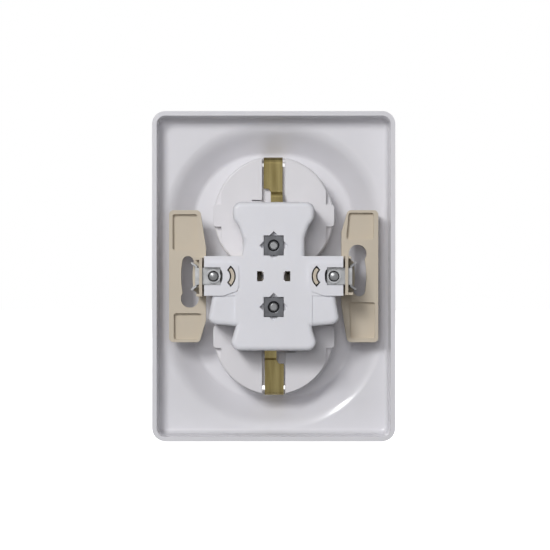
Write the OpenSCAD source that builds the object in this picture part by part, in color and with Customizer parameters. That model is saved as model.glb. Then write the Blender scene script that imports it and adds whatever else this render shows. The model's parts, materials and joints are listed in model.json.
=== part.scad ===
// Duplex wall outlet for one 60 mm flush box: a shaped cover with two round
// earthed socket wells, shuttered pin holes, a mounting frame with two
// spreading claws, and a contact base under a rear cover.
// Millimetres. Wall plane y = 0, room side -Y, box side +Y, +Z up.

/* [Cover] */
// width of the cover on the wall
cover_w = 84; // [82:0.5:90]
// height of the cover on the wall
cover_h = 114; // [112:0.5:120]
// how far the flat border stands off the wall
border_d = 10.5; // [9.5:0.5:13]
// how far the raised middle stands off the wall
front_d = 17.5; // [16:0.5:20]
// thickness of the cover's shell
cover_wall = 1.8; // [1.4:0.1:2.2]

/* [Socket wells] */
// height of each well's centre from the middle
well_z = 20.7; // [20.7:0.1:21]
// inside radius of a plug recess
recess_r = 19.55; // [19.5:0.05:19.8]
// how far the rims of the recesses stand off the wall
lip_d = 21.6; // [21.4:0.1:22]
// depth of a plug recess
recess_d = 17.5; // [17.5:0.1:18]
// half the distance between the two pins
pin_x = 9.5; // [9.5]
// radius of a pin hole
pin_hole_r = 2.7; // [2.5:0.1:2.9]

/* [Frame] */
// half the distance between the box screws
box_screw_x = 30; // [30]
// thickness of the frame's wings
wing_t = 3; // [2.5:0.5:3]
// depth of the insert behind the wall
insert_d = 17; // [17:0.5:20]

/* [Fixings] */
// height of the cover screws from the middle
cover_screw_z = 10.4; // [10:0.2:11]
// distance of each claw screw from the middle
claw_screw_x = 20.4; // [20:0.2:20.6]

/* [Hidden] */
$fn = 48;
e = 0.01;
lip_y = -lip_d;                   // front of the well rims
floor_y = lip_y + recess_d;       // front of the recess floor, -4.1
skin_y = -2.8;                    // back of the recess floor
well_r = 20.7;                    // outside of a well
lid_y = -0.3;                     // back of a shutter lid
strap_t = 0.7;

white = [0.83, 0.83, 0.84];
beige = [0.76, 0.70, 0.62];
brass = [0.72, 0.62, 0.33];
steel = [0.62, 0.63, 0.64];

// ---------- helpers ----------

// a 2D shape drawn in x and z, filled from y0 to y1
module slab(y0, y1) {
  translate([0, y1, 0]) rotate([90, 0, 0]) linear_extrude(y1 - y0) children();
}

// a round bar along Y
module bar_y(x, z, r, y0, y1) {
  translate([x, y1, z]) rotate([90, 0, 0]) cylinder(r = r, h = y1 - y0);
}

// a block from one corner to the opposite one
module block(a, b) {
  translate(a) cube([b[0] - a[0], b[1] - a[1], b[2] - a[2]]);
}

// a 2D shape drawn in z and y, filled from x0 to x1
module strip(x0, x1) {
  translate([x0, 0, 0]) rotate([90, 0, 90]) rotate([0, 0, 90]) mirror([0, 1, 0])
    linear_extrude(x1 - x0) children();
}

// turned half a turn about the Y axis
module half_turn() { rotate([0, 180, 0]) children(); }

function flip(p) = [for (i = [len(p) - 1:-1:0]) p[i]];
function unit(v) = v / norm(v);
function perp(v) = [-v[1], v[0]];
function edge_of(p, d) = [for (i = [0:len(p) - 1])
  let (a = i == 0 ? unit(p[1] - p[0]) : unit(p[i] - p[i - 1]),
       b = i == len(p) - 1 ? a : unit(p[i + 1] - p[i]),
       m = unit(perp(a) + perp(b)))
  p[i] + m * (d / (m * perp(a)))];
// the outline of a bent strip of thickness t along the points p
function ribbon(p, t) = concat(edge_of(p, t / 2), flip(edge_of(p, -t / 2)));

function arc(cx, cy, r, a0, a1, n) =
  [for (i = [0:n]) let (a = a0 + (a1 - a0) * i / n)
    [cx + r * cos(a), cy + r * sin(a)]];

// an outline with rounded corners: p holds [x, y, radius of that corner]
function corner(a, b, c, r, n) = r == 0 ? [b] :
  let (u = unit(a - b), v = unit(c - b), h = acos(u * v) / 2,
       o = b + unit(u + v) * (r / sin(h)), s = b + u * (r / tan(h)) - o,
       t = b + v * (r / tan(h)) - o, a0 = atan2(s[1], s[0]),
       d = atan2(s[0] * t[1] - s[1] * t[0], s * t))
  [for (i = [0:n]) o + r * [cos(a0 + d * i / n), sin(a0 + d * i / n)]];
function soft(p, n = 4) = let (m = len(p), q = [for (v = p) [v[0], v[1]]])
  [for (i = [0:m - 1], w = corner(q[(i + m - 1) % m], q[i], q[(i + 1) % m], p[i][2], n)) w];

// a pad with rounded corners about (cx, cz): p is its edge profile,
// [distance out from the corner centre, height off the wall], bottom first
module pad(cx, cz, p) {
  top = p[len(p) - 1][1];
  low = p[0][1];
  for (sx = [-1, 1], sz = [-1, 1]) translate([sx * cx, 0, sz * cz])
    rotate([90, 0, 0]) rotate_extrude()
      polygon(concat([[0, low]], p, [[0, top]]));
  translate([0, 0, -cz]) rotate([0, 0, 180]) linear_extrude(2 * cz)
    polygon(concat([for (q = p) [q[0] + cx, q[1]]],
      flip([for (q = p) [-q[0] - cx, q[1]]])));
  translate([-cx, 0, 0]) rotate([0, 90, 0]) rotate([0, 0, 180])
    linear_extrude(2 * cx)
      polygon(concat([for (q = p) [q[0] + cz, q[1]]],
        flip([for (q = p) [-q[0] - cz, q[1]]])));
}

// the gentle slope between the border and the raised middle
function ease(t, a, b) = (t < a ? t * t / (2 * a) : t < 1 - b ? t - a / 2 :
  1 - a / 2 - b / 2 - pow(1 - t, 2) / (2 * b)) / (1 - a / 2 - b / 2);
function slope(r0, r1, h0, h1, n) = [for (i = [0:n])
  [r0 + (r1 - r0) * i / n, h0 + (h1 - h0) * ease(i / n, 0.4, 0.15)]];

// ---------- front cover ----------

corner_r = 4.5;
dome_x = 4.2;                     // centres of the raised middle's corners
dome_z = 19;

module cover_body() {
  pad(cover_w / 2 - corner_r, cover_h / 2 - corner_r,
    concat([[corner_r, 0]],
      arc(corner_r - 2.7, border_d - 2.5, 2.5, 0, 90, 5)));
  pad(dome_x, dome_z, concat([[35, border_d - 1]],
    slope(35, 23.7, border_d, front_d, 15)));
}

module cover_hollow() {
  inner = border_d - cover_wall;
  pad(cover_w / 2 - corner_r, cover_h / 2 - corner_r,
    concat([[corner_r - 1.5, -1]],
      arc(corner_r - 3.8, inner - 1.7, 1.7, 0, 90, 5)));
  pad(dome_x, dome_z, concat([[34.3, inner - 1]],
    slope(34.3, 23, inner, front_d - cover_wall, 15)));
}

module front_cover() color(white) difference() {
  cover_body();
  cover_hollow();
  for (s = [-1, 1]) bar_y(0, s * well_z, well_r + 0.2, -front_d - 5, -border_d);
}

// ---------- socket wells ----------

module well_up() difference() {
  union() {
    difference() {
      union() {
        bar_y(0, well_z, well_r, -front_d - 1, skin_y);
        bar_y(0, well_z, 21.6, lip_y, -front_d);
      }
      bar_y(0, well_z, recess_r, lip_y - 1, floor_y);
      // chamfered mouth
      translate([0, lip_y + 1.2, well_z]) rotate([90, 0, 0])
        cylinder(r1 = recess_r, r2 = recess_r + 1.4, h = 1.4);
    }
    // side ribs that key the plug
    for (s = [-1, 1]) block([s > 0 ? 17.5 : -recess_r - 0.3, lip_y + 2.2, well_z - 2.4],
      [s > 0 ? recess_r + 0.3 : -17.5, floor_y + 0.2, well_z + 2.4]);
    // collar round the cover screw
    bar_y(0, cover_screw_z, 3.9, floor_y - 0.6, floor_y + 0.2);
  }
  // the two wells meet on a flat
  block([-25, lip_y - 1, -25], [25, 0, 0.1]);
  for (s = [-1, 1]) {
    bar_y(s * pin_x, well_z, pin_hole_r, floor_y - 1, 0);
    translate([s * pin_x, floor_y + 0.3, well_z]) rotate([90, 0, 0])
      cylinder(r1 = pin_hole_r, r2 = pin_hole_r + 0.9, h = 0.9);
  }
  bar_y(0, cover_screw_z, 1.7, floor_y - 1, 0);
  bar_y(0, cover_screw_z, 3.1, floor_y - 2, floor_y);
  // slots for the earth clips
  block([-3.9, -16.2, well_z + 17.2], [3.9, 0, well_z + 22]);
  block([-3.9, -16.2, -1], [3.9, 0, 3.6]);
}

module socket_well_upper() color(white) well_up();
module socket_well_lower() color(white) half_turn() well_up();

// ---------- shutter lids, shutters and springs ----------

module lid_up() difference() {
  union() {
    intersection() {
      bar_y(0, well_z, 20.1, skin_y, lid_y);
      block([-18.1, skin_y, 0.15], [18.1, lid_y, 45]);
    }
    for (s = [-1, 1]) slab(skin_y, lid_y) translate([0, well_z])
      polygon(soft([[s * 17, -3.6, 0], [s * 20.9, -3.6, 1.1], [s * 20.9, 4.1, 1.1],
        [s * 17, 4.1, 0]]));
  }
  // slit of the lid's catch
  block([3.9, skin_y - 1, well_z + 5.2], [7.5, 0, well_z + 5.6]);
  // room for the shutter and its two springs
  block([-13.6, skin_y - 1, well_z - 12.7], [13.6, -1.2, well_z + 3.8]);
  for (s = [-1, 1]) bar_y(s * pin_x, well_z, pin_hole_r + 0.3, -3, 0);
  bar_y(0, cover_screw_z, 1.7, -3, 0);
  // channel for the earth strap, and the passage for the centre clip
  block([-4, skin_y - 1, well_z + 4.2], [4, 0, well_z + 22]);
  block([-4, skin_y - 1, 0], [4, 0, 3.6]);
}

// the collar in the lid that the cover screw pulls against
module lid_collar() difference() {
  bar_y(0, cover_screw_z, 2.7, skin_y, -1.1);
  bar_y(0, cover_screw_z, 1.7, -3, 0);
}

module shutter_lid_upper() color(white) { lid_up(); lid_collar(); }
module shutter_lid_lower() color(white) half_turn() { lid_up(); lid_collar(); }

// covers both pin holes, with a ramp that a pin pushes aside
module shutter_up() difference() {
  union() {
    for (s = [-1, 1]) block([s * pin_x - 3.7, -2.6, well_z - 3.4],
      [s * pin_x + 3.7, -1.3, well_z + 3.4]);
    block([-pin_x, -2.6, well_z + 0.3], [pin_x, -1.3, well_z + 3.4]);
  }
  for (s = [-1, 1]) strip(s * pin_x - 2.9, s * pin_x + 2.9)
    polygon([[well_z - 0.6, -2.7], [well_z + 3.6, -2.7], [well_z + 3.6, -1.6],
      [well_z + 3, -1.6]]);
}

module shutter_upper() color(beige) shutter_up();
module shutter_lower() color(beige) half_turn() shutter_up();

module springs_up() for (s = [-1, 1])
  translate([s * pin_x, -1.95, well_z - 12.65]) linear_extrude(9.2, twist = -2160,
    slices = 72, $fn = 6) translate([0.5, 0]) circle(r = 0.13, $fn = 6);

module shutter_springs_upper() color(steel) springs_up();
module shutter_springs_lower() color(steel) half_turn() springs_up();

// ---------- support frame ----------

wall_x0 = 24.2;
wall_x1 = 25.2;
arc_x = 17.4;                     // centre of the bent rib
key_a = 15;                       // where the keyhole's entry sits, degrees
key_end = 9.5;

// a bent slot about the middle, from angle a0 to a1, for +X
module bent(r0, r1, a0, a1, y0, y1) {
  translate([0, y1, 0]) rotate([90, 0, 0]) rotate([0, 0, a0])
    rotate_extrude(angle = a1 - a0) translate([r0, 0]) square([r1 - r0, y1 - y0]);
}

module wing_right() difference() {
  slab(-wing_t, 0) polygon(concat(
    arc(26.7, 21.3, 1.5, 176, 90, 4), arc(34.6, 21.3, 1.5, 90, 0, 4),
    arc(34.6, -21.3, 1.5, 0, -90, 4), arc(26.7, -21.3, 1.5, -90, -176, 4),
    [[23.4, -15.3], [23.4, 10]]));
  // hollows moulded into the back
  slab(-wing_t + 1.2, 1) polygon(soft([[26.4, 21.4, 0.8], [34.9, 21.4, 0.8],
    [34.9, 9, 0.8], [26, 9, 0.8]]));
  slab(-wing_t + 1.2, 1) polygon(soft([[25, -12.8, 0.8], [34.5, -12.8, 0.8],
    [34.5, -21.9, 0.8], [25.9, -21.9, 0.8]]));
  // keyhole for a box screw
  bent(box_screw_x - 2, box_screw_x + 2, -key_a, key_end, -wing_t - 1, 1);
  bar_y(box_screw_x * cos(key_end), box_screw_x * sin(key_end), 2, -wing_t - 1, 1);
  bar_y(box_screw_x * cos(key_a), -box_screw_x * sin(key_a), 3.1, -wing_t - 1, 1);
}

// everything of the frame on the +X side
module frame_right() {
  difference() {
    union() {
      wing_right();
      // seat for the claw screw, and the bridge to the other side
      block([16.8, skin_y, -6.8], [wall_x0 + 0.1, 1.8, 6.8]);
      block([0, -0.2, -6.8], [17, 1.8, 6.8]);
      // upright wall that guides the claw
      difference() {
        union() {
          block([wall_x0, -wing_t, -6.85], [wall_x1, 16.6, 6.35]);
          block([wall_x0, -wing_t, 5.5], [26.9, 16.2, 6.35]);
          block([wall_x0, -wing_t, -6.85], [26.9, 16.2, -6]);
        }
        block([wall_x0 - 1, 12.6, -3.3], [wall_x1 + 0.1, 15.8, 3.3]);
      }
      // bent rib that stops the rear cover turning
      translate([arc_x, 0, 0]) mirror([1, 0, 0]) bent(3.05, 4.15, -44, 44, 1.7, 16.7);
    }
    // way past the upright wall for the head of a box screw
    bar_y(box_screw_x * cos(key_a), -box_screw_x * sin(key_a), 3.1, -wing_t - 1, 20);
    bar_y(claw_screw_x, 0, 3, skin_y - 1, -0.4);
    bar_y(claw_screw_x, 0, 1.65, -1, 3);
    block([-4.2, -1, -2.2], [4.2, 3, 2.2]);
    bar_y(0, cover_screw_z, 1.7, -1, 3);
    bar_y(0, -cover_screw_z, 1.7, -1, 3);
  }
}

module support_frame() color(beige) {
  frame_right();
  half_turn() frame_right();
}

// ---------- rear cover and contact base ----------

// outline of the insert behind the wall, drawn in x and z
rear_half = concat(
  [[23.5, -6.6], [23.5, 6.8], [10.5, 6.8], [10.5, 12.7], [11.1, 14.7],
   [11.9, 16.9], [12.9, 18.3], [13.7, 19.6]],
  arc(10.9, 22.1, 3, 8, 90, 6));
rear_low = concat(
  arc(11.4, -22.2, 3, -90, 4, 6),
  [[13, -17.6], [12.9, -16.9]],
  arc(19.6, -13.8, 2.5, -98, -4, 5),
  [[20.8, -6.6]]);
function mir(p) = [for (q = p) [-q[0], q[1]]];
rear_pts = concat(rear_low, rear_half, flip(mir(rear_half)), flip(mir(rear_low)));

// the room inside the rear cover
room_half = concat(
  [[22.3, -5.4], [22.3, 5.6], [9.3, 5.6], [9.3, 12.9], [9.9, 15.1],
   [10.8, 17.3], [11.8, 18.7], [12.6, 20]],
  arc(10.8, 22, 1.9, 8, 90, 4));
room_low = concat(
  arc(11.2, -22.1, 1.9, -90, 4, 4),
  [[11.8, -17.4], [11.7, -15.6]],
  arc(19.8, -14.3, 1.3, -90, -4, 4),
  [[19.7, -5.4]]);
room_pts = concat(room_low, room_half, flip(mir(room_half)), flip(mir(room_low)));

module nut_star(y0, y1) {
  block([-3.4, y0, -3.4], [3.4, y1, 3.4]);
  translate([0, y0 + 0.7, 0]) rotate([0, 45, 0]) translate([-3.4, 0, -3.4])
    cube([6.8, y1 - y0 - 0.7, 6.8]);
}

module rear_cover() color(white) difference() {
  union() {
    difference() {
      slab(3.3, insert_d) polygon(rear_pts);
      slab(2, insert_d - 1.6) polygon(room_pts);
    }
    // pockets for the square nuts, on tubes for the cover screws
    for (s = [-1, 1]) {
      bar_y(0, s * cover_screw_z, 5.5, 12.6, insert_d - 1);
      bar_y(0, s * cover_screw_z, 3, 4.2, 13);
    }
    // raised pads round the claws
    for (s = [-1, 1]) slab(insert_d - 0.5, insert_d + 0.55) polygon(soft([
      [s * 23.5, -6.6, 0], [s * 17.1, -6.6, 2], [s * 12.4, -5, 1.2],
      [s * 11.8, -3, 1], [s * 11.8, 4.6, 1.9], [s * 23.5, 4.6, 0]]));
  }
  // the lower lobes sit a little deeper
  for (s = [-1, 1]) block([s > 0 ? 13 : -24, insert_d - 0.45, -17.5],
    [s > 0 ? 24 : -13, insert_d + 0.1, -6.6]);
  for (s = [-1, 1]) {
    translate([0, 0, s * cover_screw_z]) nut_star(13.8, insert_d + 1);
    bar_y(0, s * cover_screw_z, 1.7, 3, insert_d);
    // openings for the claw plates
    block([s > 0 ? 18 : -24, 10.8, -3], [s > 0 ? 24 : -18, insert_d + 1, 3]);
    slab(insert_d - 2, insert_d + 1) polygon([[s * 18.1, 2.5], [s * 18.1, -2.5],
      [s * 17.6, -2], [s * 17.25, -0.9], [s * 17.25, 0.9], [s * 17.6, 2]]);
    // bent slots
    translate([s * arc_x, 0, 0]) mirror([s > 0 ? 1 : 0, 0, 0])
      bent(2.6, 4.6, -52, 52, insert_d - 3, insert_d + 1);
    // windows by the middle
    block([s * 4.5 - 1.12, insert_d - 3, -1.7], [s * 4.5 + 1.12, insert_d + 1, 1.7]);
    // wire entries for line and neutral
    translate([s * 17.6, 9, -18]) cylinder(r = 1.9, h = 4);
  }
  // wire entry for earth
  translate([0, 8.6, -27]) cylinder(r = 1.9, h = 5);
  // notches for the earth strap
  block([-3.9, 3, 20], [1.2, 4.4, 27]);
  block([-1.2, 3, -27], [3.9, 4.4, -20]);
}

module contact_base() color(white) difference() {
  slab(1.9, 3.3) polygon(rear_pts);
  block([-6, 1, -2.2], [6, 4, 2.2]);
  for (s = [-1, 1], t = [-1, 1])
    bar_y(s * pin_x, t * well_z, pin_hole_r + 0.3, 1, 4);
  for (s = [-1, 1]) {
    bar_y(0, s * cover_screw_z, 1.7, 1, 4);
    bar_y(s * claw_screw_x, 0, 1.75, 1, 4);
    bar_y(s * 17.6, -11.7, 2.4, 1, 4);
    translate([s * arc_x, 0, 0]) mirror([s > 0 ? 1 : 0, 0, 0])
      bent(2.6, 4.6, -52, 52, 1, 4);
  }
  bar_y(0, -20.6, 2.4, 1, 4);
}

// ---------- earth parts ----------

// one half of the strap, from the outer clip towards the middle, z then y
strap_run = [[40.4, -14.6], [39.7, -13.3], [38.5, -11], [38.5, -10.2],
  [39.9, -6.6], [40.8, -3.9], [40.8, -3], [40.6, -2.3], [40.15, -1.7],
  [39.6, -1.3], [38.9, -1.15], [29.5, -1.15], [29, -1], [28.6, -0.65],
  [28.35, -0.1], [28.1, 2.7], [27.8, 3.4], [27.1, 3.75], [-0.1, 3.75]];

module strap_half() intersection() {
  strip(-3.4, 3.5) polygon(ribbon(strap_run, strap_t));
  union() {
    block([-3.1, -20, 30.2], [3.5, 3, 45]);
    slab(-20, 6) polygon([[-3.4, -1], [3.4, -1], [3.4, 21.6], [1, 23.4],
      [1, 29], [1.6, 30], [3.5, 31], [3.5, 31.1], [-3.1, 31.1], [-3.1, 24], [-3.4, 22]]);
  }
}

module earth_strap() color(brass) difference() {
  union() { strap_half(); half_turn() strap_half(); }
  for (s = [-1, 1]) bar_y(0, s * cover_screw_z, 1.8, 3, 5);
  block([-2.8, 3, -1.4], [2.8, 5, 1.4]);
  bar_y(0, -20.6, 1.8, 3, 5);
}

clip_run = [[1.3, -14.6], [1.9, -13.3], [2.9, -11], [2.9, -10.2], [1.7, -6.6],
  [0.75, -3.6], [0.75, 4.1], [0.55, 4.5], [-0.1, 4.5]];

module clip_half() {
  strip(-2.6, 2.6) polygon(ribbon(clip_run, 0.6));
  block([-2.6, 4.2, 0], [2.6, 4.8, 3]);
}

module centre_earth_clip() color(brass) { clip_half(); half_turn() clip_half(); }

module earth_terminal() color(brass) difference() {
  block([-3.5, 4.2, -23.9], [3.5, 11.4, -17.4]);
  bar_y(0, -20.6, 1.55, 4, 9);
  translate([0, 8.6, -25]) cylinder(r = 1.7, h = 6.2);
}

// ---------- live parts ----------

// a forked contact for one pin, opening towards the room
fork_run = [[-2.8, 4.6], [-2.75, 13.95], [2.75, 13.95], [2.8, 4.6]];

module fork(z) translate([0, 0, z]) {
  strip(pin_x - 1.5, pin_x + 1.5) polygon(ribbon(fork_run, 0.6));
  block([6.3, 13.65, -3.05], [pin_x, 14.25, 3.05]);
}

module bus_right() {
  fork(well_z);
  fork(-well_z);
  block([6.3, 10.4, -well_z - 3], [7.1, 14.25, well_z + 3]);
  block([6.4, 12.7, -13.4], [19.6, 13.4, -10]);
}

module line_contact() color(brass) bus_right();
module neutral_contact() color(brass) mirror([1, 0, 0]) bus_right();

module terminal_right() difference() {
  block([14.7, 5.6, -15.2], [19.6, 12.6, -8.4]);
  bar_y(17.6, -11.7, 1.55, 5, 10);
  translate([17.6, 9, -16]) cylinder(r = 1.7, h = 6.8);
}

module line_terminal() color(brass) terminal_right();
module neutral_terminal() color(brass) mirror([1, 0, 0]) terminal_right();

// a screw along Y with a cross recess, its head towards the room
module screw(x, z, head_y, neck_y, end_y, head_r, tip = 0) translate([x, 0, z]) difference() {
  union() {
    bar_y(0, 0, head_r, head_y, neck_y);
    bar_y(0, 0, 1.5, neck_y - e, end_y - 0.4);
    translate([0, end_y, 0]) rotate([90, 0, 0]) rotate_extrude()
      polygon([[0, 0], [0.6, tip], [1.1, 4 * tip], [1.5, 0.4], [0, 0.4]]);
  }
  for (a = [0, 90]) translate([0, head_y, 0]) rotate([0, a, 0])
    cube([head_r * 1.35, 2 * (neck_y - head_y) * 0.55, 0.7], center = true);
}

module line_terminal_screw() color(steel) screw(17.6, -11.7, 4, 5.5, 8.4, 2.1);
module neutral_terminal_screw() color(steel) screw(-17.6, -11.7, 4, 5.5, 8.4, 2.1);
module earth_terminal_screw() color(steel) screw(0, -20.6, 1.8, 3.3, 8.4, 2.2);

// ---------- fixings ----------

module cover_screw_upper() color(steel)
  screw(0, cover_screw_z, floor_y - 2, floor_y, 16.9, 2.9);
module cover_screw_lower() color(steel)
  screw(0, -cover_screw_z, floor_y - 2, floor_y, 16.9, 2.9);

module nut(z) difference() {
  block([-3.3, 13.85, z - 3.3], [3.3, 16.25, z + 3.3]);
  bar_y(0, z, 1.55, 13, 17);
  translate([0, 16.3, z]) rotate([90, 0, 0]) cylinder(r1 = 2.05, r2 = 1.5, h = 0.6);
}

module cover_nut_upper() color(steel) nut(cover_screw_z);
module cover_nut_lower() color(steel) nut(-cover_screw_z);

// plate in the rear cover, bent forward outside the frame's wall, with two
// flared side ears that bite into the box
module claw_r() difference() {
  union() {
    block([18.15, 14.4, -2.85], [26.6, 15.2, 2.85]);
    bar_y(claw_screw_x, 0, 2.4, 15, 16);
    block([25.9, 11.8, -2.85], [26.6, 15.2, 2.85]);
    block([25.9, 2.6, -3.5], [26.6, 12.2, 3.5]);
    block([25.9, 1.6, -1], [26.6, 3, 1]);
    for (s = [-1, 1]) slab(2, 9.5) polygon([[25.9, s * 3], [26.6, s * 3],
      [28.3, s * 4.35], [27.95, s * 4.85], [25.9, s * 3.5]]);
    for (s = [-1, 1]) slab(1, 2.1) polygon([[26.9, s * 3.25], [28.3, s * 4.35],
      [27.95, s * 4.85], [26.6, s * 3.9]]);
  }
  bar_y(claw_screw_x, 0, 1.85, 14, 17);
}

module claw_right() color(steel) claw_r();
module claw_left() color(steel) half_turn() claw_r();
module claw_screw_right() color(steel)
  screw(claw_screw_x, 0, -2.5, -0.4, 17.4, 2.7, 0.04);
module claw_screw_left() color(steel)
  screw(-claw_screw_x, 0, -2.5, -0.4, 17.4, 2.7, 0.04);

front_cover();
socket_well_upper();
socket_well_lower();
shutter_lid_upper();
shutter_lid_lower();
shutter_upper();
shutter_lower();
shutter_springs_upper();
shutter_springs_lower();
support_frame();
contact_base();
rear_cover();
earth_strap();
centre_earth_clip();
line_contact();
neutral_contact();
line_terminal();
neutral_terminal();
earth_terminal();
line_terminal_screw();
neutral_terminal_screw();
earth_terminal_screw();
cover_screw_upper();
cover_screw_lower();
cover_nut_upper();
cover_nut_lower();
claw_right();
claw_left();
claw_screw_right();
claw_screw_left();
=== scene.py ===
import json
import math

import bmesh
import bpy
from mathutils import Matrix, Vector


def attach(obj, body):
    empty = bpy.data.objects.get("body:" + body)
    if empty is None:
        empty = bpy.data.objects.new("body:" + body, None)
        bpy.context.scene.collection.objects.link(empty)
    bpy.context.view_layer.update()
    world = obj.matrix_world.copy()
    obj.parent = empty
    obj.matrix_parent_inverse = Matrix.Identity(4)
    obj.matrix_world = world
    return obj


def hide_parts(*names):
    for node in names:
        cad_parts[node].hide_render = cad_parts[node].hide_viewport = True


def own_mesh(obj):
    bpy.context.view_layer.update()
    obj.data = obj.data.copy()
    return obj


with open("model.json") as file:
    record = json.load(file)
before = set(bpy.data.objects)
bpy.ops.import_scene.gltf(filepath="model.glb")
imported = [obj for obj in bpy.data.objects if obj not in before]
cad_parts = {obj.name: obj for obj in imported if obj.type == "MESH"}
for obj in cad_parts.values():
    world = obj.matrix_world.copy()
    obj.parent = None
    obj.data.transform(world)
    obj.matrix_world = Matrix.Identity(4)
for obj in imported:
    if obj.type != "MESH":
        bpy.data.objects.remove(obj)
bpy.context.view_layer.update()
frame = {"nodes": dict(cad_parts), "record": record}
nodes = frame["nodes"]
behaviour = frame["record"]["behaviour"]
body_of = {node: body for body, held in behaviour["bodies"].items() for node in held}
slot_of = {s["node"]: s["material_slot"] for s in frame["record"]["subparts"]}
MM = 0.001


# ---------- materials ----------

CLOUD_SCALE = 60.0                # cloudiness of a plastic's colour, per metre
CLOUD_BAND = (0.35, 0.65)         # the noise values between which the colour changes
GRAIN_SCALE = 1400.0              # grain of a plastic's surface, per metre
GRAIN_DEPTH = 0.2 * MM
COAT_ROUGHNESS = 0.17
SUBSURFACE_DEPTH = 1.2 * MM
STREAK_BAND = (0.3, 0.7)
STREAK_STRENGTH = 0.06
STREAK_DEPTH = 0.1 * MM
STEEL_GRAIN = (400, 400, 400)     # speckle of plated steel, per metre along x, y, z
BRASS_GRAIN = (500, 40, 40)       # long streaks of rolled brass


def srgb(r, g, b):
    """A colour given in 0 to 255, as the linear values that a shader takes."""
    def linear(c):
        c = c / 255
        return c / 12.92 if c <= 0.04045 else ((c + 0.055) / 1.055) ** 2.4
    return (linear(r), linear(g), linear(b), 1.0)


def new_material(name):
    """(material, its node tree, its shader, its object coordinates)"""
    m = bpy.data.materials.new(name)
    m.use_nodes = True
    coords = m.node_tree.nodes.new("ShaderNodeTexCoord").outputs["Object"]
    return m, m.node_tree, m.node_tree.nodes["Principled BSDF"], coords


def noise(tree, vector, scale, detail):
    n = tree.nodes.new("ShaderNodeTexNoise")
    n.inputs["Scale"].default_value = scale
    n.inputs["Detail"].default_value = detail
    tree.links.new(vector, n.inputs["Vector"])
    return n.outputs["Fac"]


def vary_colour(tree, shader, fac, band, dark, light):
    """The base colour goes from dark, where fac is low, to light, where it is high."""
    ramp = tree.nodes.new("ShaderNodeValToRGB")
    for stop, at, colour in zip(ramp.color_ramp.elements, band, (dark, light)):
        stop.position = at
        stop.color = colour
    tree.links.new(fac, ramp.inputs["Fac"])
    tree.links.new(ramp.outputs["Color"], shader.inputs["Base Color"])


def vary_roughness(tree, shader, fac, least, most):
    span = tree.nodes.new("ShaderNodeMapRange")
    span.inputs["To Min"].default_value = least
    span.inputs["To Max"].default_value = most
    tree.links.new(fac, span.inputs["Value"])
    tree.links.new(span.outputs["Result"], shader.inputs["Roughness"])


def vary_height(tree, shader, fac, strength, distance):
    bump = tree.nodes.new("ShaderNodeBump")
    bump.inputs["Strength"].default_value = strength
    bump.inputs["Distance"].default_value = distance
    tree.links.new(fac, bump.inputs["Height"])
    tree.links.new(bump.outputs["Normal"], shader.inputs["Normal"])


def darker(colour, share):
    return tuple(c * (1 - share) for c in colour[:3]) + (1,)


def plastic(name, colour, rough, coat=0.0, sub=0.0, mottle=0.03, grain=0.02):
    """Moulded plastic: a faint cloudiness in the colour, a faint grain in the surface."""
    m, tree, shader, coords = new_material(name)
    cloud = noise(tree, coords, CLOUD_SCALE, 3)
    vary_colour(tree, shader, cloud, CLOUD_BAND, darker(colour, mottle), colour)
    vary_roughness(tree, shader, cloud, rough * 0.88, rough * 1.12)
    vary_height(tree, shader, noise(tree, coords, GRAIN_SCALE, 4), grain, GRAIN_DEPTH)
    shader.inputs["Coat Weight"].default_value = coat
    shader.inputs["Coat Roughness"].default_value = COAT_ROUGHNESS
    shader.inputs["Subsurface Weight"].default_value = sub
    shader.inputs["Subsurface Radius"].default_value = (1.0, 0.9, 0.8)
    shader.inputs["Subsurface Scale"].default_value = SUBSURFACE_DEPTH
    return m


def metal(name, colour, dark, rough, grain):
    """Rolled or plated metal: streaks or speckle in the colour, roughness and surface."""
    m, tree, shader, coords = new_material(name)
    shader.inputs["Metallic"].default_value = 1.0
    stretch = tree.nodes.new("ShaderNodeMapping")
    stretch.inputs["Scale"].default_value = grain
    tree.links.new(coords, stretch.inputs["Vector"])
    streaks = noise(tree, stretch.outputs["Vector"], 1.0, 5)
    vary_colour(tree, shader, streaks, STREAK_BAND, dark, colour)
    vary_roughness(tree, shader, streaks, rough * 0.8, rough * 1.25)
    vary_height(tree, shader, streaks, STREAK_STRENGTH, STREAK_DEPTH)
    return m


def steel(name, grey, rough, speckle):
    return metal(name, grey, darker(grey, speckle), rough, STEEL_GRAIN)


# one finish for each material slot of the record
LOOK = {
    "cover_white": plastic("cover_white", srgb(224, 223, 227), rough=0.50, coat=0.9, sub=0.05),
    "well_white": plastic("well_white", srgb(228, 226, 229), rough=0.40, coat=0.2, sub=0.05),
    "insert_white": plastic("insert_white", srgb(234, 234, 239), rough=0.45, sub=0.08, grain=0.05),
    "frame_beige": plastic("frame_beige", srgb(205, 194, 176), rough=0.50, sub=0.05,
                           mottle=0.04, grain=0.05),
    "shutter_beige": plastic("shutter_beige", srgb(210, 200, 186), rough=0.45),
    "contact_brass": metal("contact_brass", srgb(176, 162, 114), srgb(142, 127, 82),
                           rough=0.22, grain=BRASS_GRAIN),
    "zinc_steel": steel("zinc_steel", srgb(162, 163, 165), rough=0.34, speckle=0.3),
}
# the nuts are duller than the screws; the claws get a lighter copy of the steel, painted light that
# offsets the shade of their recessed pockets
DULL = steel("zinc_steel_dull", srgb(112, 113, 117), rough=0.42, speckle=0.25)
# painted light: the claws' steel is lightened so that the shade in their pockets doesn't darken them
CLAW_PAINTED_LIGHT = steel("zinc_steel_painted_light", srgb(196, 197, 199), rough=0.36, speckle=0.3)
OWN_LOOK = {"cover_nut_upper": DULL, "cover_nut_lower": DULL, "claw_right": CLAW_PAINTED_LIGHT, "claw_left": CLAW_PAINTED_LIGHT}


# ---------- edges ----------

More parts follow.
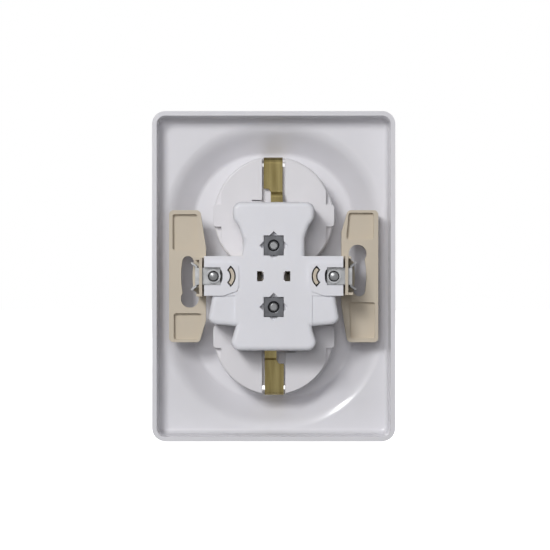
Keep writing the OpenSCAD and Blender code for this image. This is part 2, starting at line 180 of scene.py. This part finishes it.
SHARP = math.radians(32)          # a fold beyond this is an edge, and is rounded
FLAT = math.radians(0.4)          # faces that fold less than this become one
JOIN = 0.002 * MM                 # corners closer than this become one
THIN_EDGE = 0.1 * MM              # rounding of the pieces that aren't listed below
EDGES = {
    "front_cover": 0.3 * MM, "socket_well_upper": 0.15 * MM, "socket_well_lower": 0.15 * MM,
    "shutter_lid_upper": 0.3 * MM, "shutter_lid_lower": 0.3 * MM, "support_frame": 0.3 * MM,
    "contact_base": 0.15 * MM, "rear_cover": 0.18 * MM, "centre_earth_clip": 0.08 * MM,
    "claw_screw_right": 0.08 * MM, "claw_screw_left": 0.08 * MM,
    "cover_screw_upper": 0.08 * MM, "cover_screw_lower": 0.08 * MM,
}

# where the softer edges are, in millimetres
BACK_Y = 16.3                     # the edges of the rear cover's back face lie beyond this
CLAW_BAND = 6.9                   # edges nearer than this to the middle height stay crisp
NUT_Z = 10.4                      # height of a nut pocket's middle
NUT_REACH = 5.4                   # edges nearer than this to that middle stay crisp
LOBE_X = 13.0                     # the lower lobes step down here, and that edge stays crisp
WELL_Z = 20.7                     # height of a well's middle
WELL_R = 20.7                     # outside radius of a well
WELL_BACK = -2.8                  # y of the back of a well's floor
LEVEL = 0.05                      # an edge whose ends differ by less in y runs along the back
ON_LINE = 0.06                    # a corner nearer than this is on a line
ON_FACE = 0.02                    # a corner nearer than this is on a face


def rear_soft(a, b):
    """The rounded outline of the rear cover's head, foot and lobes."""
    middle = (a + b) / 2
    if min(a.y, b.y) < BACK_Y or abs(middle.z) < CLAW_BAND or abs(a.y - b.y) > LEVEL:
        return False
    if min((middle - Vector((0, middle.y, s * NUT_Z))).length for s in (-1, 1)) < NUT_REACH:
        return False
    return not all(abs(abs(v.x) - LOBE_X) < ON_LINE for v in (a, b))


def well_soft(a, b):
    """The outer edge at the back of a well."""
    return all(abs(v.y - WELL_BACK) < ON_FACE
               and abs(math.hypot(v.x, abs(v.z) - WELL_Z) - WELL_R) < ON_LINE for v in (a, b))


SOFT = {
    "rear_cover": (rear_soft, 1.5 * MM),
    "socket_well_upper": (well_soft, 0.6 * MM),
    "socket_well_lower": (well_soft, 0.6 * MM),
}


# ---------- pieces ----------

def stand_in(node):
    """A copy of a CAD node in its own finish, on the node's body."""
    me = nodes[node].data.copy()
    me.name = node + "_look"
    me.materials.clear()
    me.materials.append(OWN_LOOK.get(node) or LOOK[slot_of[node]])
    ob = bpy.data.objects.new(node + "_look", me)
    bpy.context.scene.collection.objects.link(ob)
    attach(ob, body_of[node])
    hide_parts(node)
    return ob


def round_edges(ob, name, method, width, segments, clamp):
    bevel = ob.modifiers.new(name, "BEVEL")
    bevel.limit_method = method
    bevel.width = width
    bevel.segments = segments
    bevel.use_clamp_overlap = clamp
    return bevel


def dress(node):
    """The node with merged flats, smooth round faces and rounded edges."""
    ob = stand_in(node)
    soft, soft_width = SOFT.get(node, (None, 0.0))
    bm = bmesh.new()
    bm.from_mesh(ob.data)
    bmesh.ops.remove_doubles(bm, verts=bm.verts, dist=JOIN)
    bmesh.ops.dissolve_limit(bm, angle_limit=FLAT, verts=bm.verts, edges=bm.edges,
                             use_dissolve_boundaries=False)
    weight = bm.edges.layers.float.new("bevel_weight_edge")
    for e in bm.edges:
        fold = e.calc_face_angle(0.0)
        e.smooth = fold < SHARP
        if soft and fold > SHARP and soft(*(v.co / MM for v in e.verts)):
            e[weight] = 1.0
    for f in bm.faces:
        f.smooth = True
    bm.to_mesh(ob.data)
    bm.free()
    if soft:
        bevel = round_edges(ob, "soft", "WEIGHT", soft_width, segments=5, clamp=False)
        bevel.miter_outer = "MITER_ARC"
    bevel = round_edges(ob, "edge", "ANGLE", EDGES.get(node, THIN_EDGE), segments=2, clamp=True)
    bevel.angle_limit = SHARP
    ob.modifiers.new("normals", "WEIGHTED_NORMAL").keep_sharp = True


def springs(node):
    """A shutter's two springs, which shorten towards their fixed ends as the shutter slides; here they
    are only copied, with a mesh of their own.
    """
    ob = stand_in(node)
    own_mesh(ob)


deforming = set()
for joint in behaviour["joints"]:
    for d in joint.get("deforming_nodes", []):
        springs(d["node"])
        deforming.add(d["node"])

for node in sorted(set(nodes) - deforming):
    dress(node)


# ---------- stage ----------

WHITE = (1, 1, 1, 1)
FLOOR_SIZE, FLOOR_Z = 6, -57.5 * MM    # half a millimetre under the cover

floor_mat = bpy.data.materials.new("floor")
floor_mat.use_nodes = True
paint = floor_mat.node_tree.nodes["Principled BSDF"]
paint.inputs["Base Color"].default_value = (0.9, 0.9, 0.9, 1)
paint.inputs["Roughness"].default_value = 0.9
paint.inputs["Emission Color"].default_value = WHITE
paint.inputs["Emission Strength"].default_value = 1.0
bpy.ops.mesh.primitive_plane_add(size=FLOOR_SIZE, location=(0, 0, FLOOR_Z))
floor = bpy.context.object
floor.name = "floor"
floor.data.materials.append(floor_mat)
floor.visible_diffuse = False
floor.visible_glossy = False
floor.visible_shadow = False


# ---------- light ----------

world = bpy.context.scene.world or bpy.data.worlds.new("world")
bpy.context.scene.world = world
world.use_nodes = True
sky_tree = world.node_tree
sky_tree.nodes.clear()


def sky(strength, colour=WHITE):
    b = sky_tree.nodes.new("ShaderNodeBackground")
    b.inputs["Color"].default_value = colour
    b.inputs["Strength"].default_value = strength
    return b


def blend(fac, a, b):
    mix = sky_tree.nodes.new("ShaderNodeMixShader")
    sky_tree.links.new(fac, mix.inputs["Fac"])
    sky_tree.links.new(a.outputs[0], mix.inputs[1])
    sky_tree.links.new(b.outputs[0], mix.inputs[2])
    return mix


# a dim room light, brighter in reflections, white as a backdrop
ray = sky_tree.nodes.new("ShaderNodeLightPath")
lit = blend(ray.outputs["Is Glossy Ray"], sky(0.13, (0.98, 0.98, 1.0, 1)), sky(0.55))
lit = blend(ray.outputs["Is Camera Ray"], lit, sky(1.0))
out = sky_tree.nodes.new("ShaderNodeOutputWorld")
sky_tree.links.new(lit.outputs[0], out.inputs["Surface"])


def softbox(name, d, dist, size, power, colour=(1, 1, 1), up=(0, 0, 1)):
    """An area light facing the origin from direction d; size is across and along up."""
    light = bpy.data.lights.new(name, "AREA")
    light.shape = "RECTANGLE"
    light.size, light.size_y = size
    light.energy = power
    light.color = colour
    ob = bpy.data.objects.new(name, light)
    bpy.context.scene.collection.objects.link(ob)
    z = Vector(d).normalized()
    y = (Vector(up) - Vector(up).dot(z) * z).normalized()
    x = y.cross(z)
    ob.rotation_mode = "QUATERNION"
    ob.rotation_quaternion = Matrix((x, y, z)).transposed().to_quaternion()
    ob.location = z * dist
    return ob


# key and front light the side that faces the wall box and don't show in reflections,
# gloss shows only in reflections, as the highlight on the cover,
# and room_side lights the side that faces the room
key = softbox("key", (0.36, 1.0, 0.40), dist=1.6, size=(0.36, 0.36), power=12.6)
key.visible_glossy = False
front = softbox("front", (0.07, 1.0, 0.14), dist=1.8, size=(0.5, 0.5), power=7.0,
                colour=(0.98, 0.98, 1.0))
front.visible_glossy = False
gloss = softbox("gloss", (0.39, 1.0, 0.50), dist=1.6, size=(0.11, 0.9), power=13.0, up=(0, 1, 0))
gloss.visible_diffuse = False
softbox("room_side", (-0.5, -1.2, 0.8), dist=1.5, size=(0.9, 0.9), power=24.0)


# ---------- camera ----------

SENSOR, LENS = 36, 151.7               # in millimetres
CAMERA = (-0.45 * MM, 0.8, 0.41 * MM)  # behind the outlet, and looking straight at it
NEAR, FAR = 0.01, 20

cam_data = bpy.data.cameras.new("camera")
cam_data.sensor_width = SENSOR
cam_data.lens = LENS
cam_data.clip_start, cam_data.clip_end = NEAR, FAR
cam = bpy.data.objects.new("camera", cam_data)
bpy.context.scene.collection.objects.link(cam)
cam.location = CAMERA
cam.rotation_mode = "QUATERNION"
cam.rotation_quaternion = Vector((0, -1, 0)).to_track_quat("-Z", "Y")
bpy.context.scene.camera = cam
bpy.context.scene.view_settings.view_transform = "Standard"
bpy.context.scene.view_settings.look = "None"
